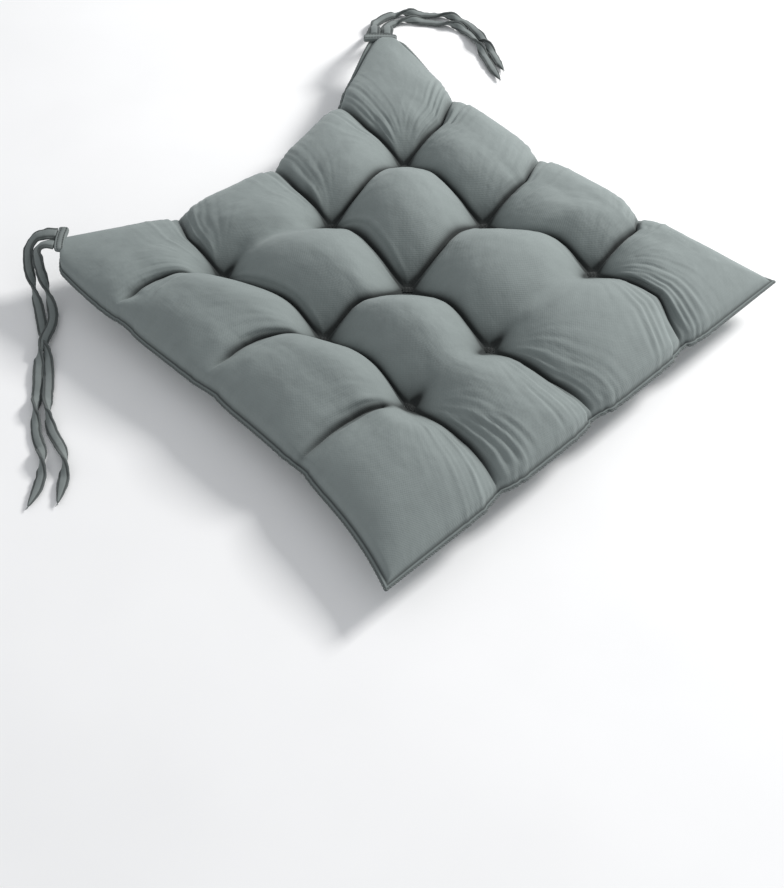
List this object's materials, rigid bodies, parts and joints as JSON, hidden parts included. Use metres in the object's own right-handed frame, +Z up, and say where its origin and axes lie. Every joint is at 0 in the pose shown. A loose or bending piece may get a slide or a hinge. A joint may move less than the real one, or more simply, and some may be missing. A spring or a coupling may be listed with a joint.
{
  "type": "chair seat pad",
  "caption": "Square tufted chair seat pad with a knife edge, plump fibre filling and a pair of fabric ties at each back corner.",
  "frame": {"origin": "centre of the underside, on the surface that the pad rests on", "axes": "+Z up through the pad; +Y towards the back side, which has the ties; +X to the right seen from the front"},
  "size_m": [0.645, 0.501, 0.0709],
  "materials": {
    "cover_fabric": "brushed matt woven microfibre, grey with a slight green-blue cast",
    "fibre_fill": "loose white polyester fibre",
    "tuft_thread": "matt twisted polyester thread",
    "seam_thread": "matt sewing thread on the rolled edge of the seam",
    "tie_tape": "folded and stitched tape of the cover fabric"
  },
  "bodies": {
    "root": {"top_panel": "cover_fabric", "bottom_panel": "cover_fabric", "fibre_fill": "fibre_fill", "tuft_thread_back_left": "tuft_thread", "tuft_thread_back_centre": "tuft_thread", "tuft_thread_back_right": "tuft_thread", "tuft_thread_middle_left": "tuft_thread", "tuft_thread_middle_centre": "tuft_thread", "tuft_thread_middle_right": "tuft_thread", "tuft_thread_front_left": "tuft_thread", "tuft_thread_front_centre": "tuft_thread", "tuft_thread_front_right": "tuft_thread", "seam_thread_left": "seam_thread", "seam_thread_right": "seam_thread", "seam_thread_front": "seam_thread", "seam_thread_back_left": "seam_thread", "seam_thread_back_right": "seam_thread", "closing_stitch": "seam_thread", "tie_strip_left": "tie_tape", "tie_strip_right": "tie_tape", "tie_left_outer": "tie_tape", "tie_left_inner": "tie_tape", "tie_right_outer": "tie_tape", "tie_right_inner": "tie_tape"}
  },
  "joints": []
}
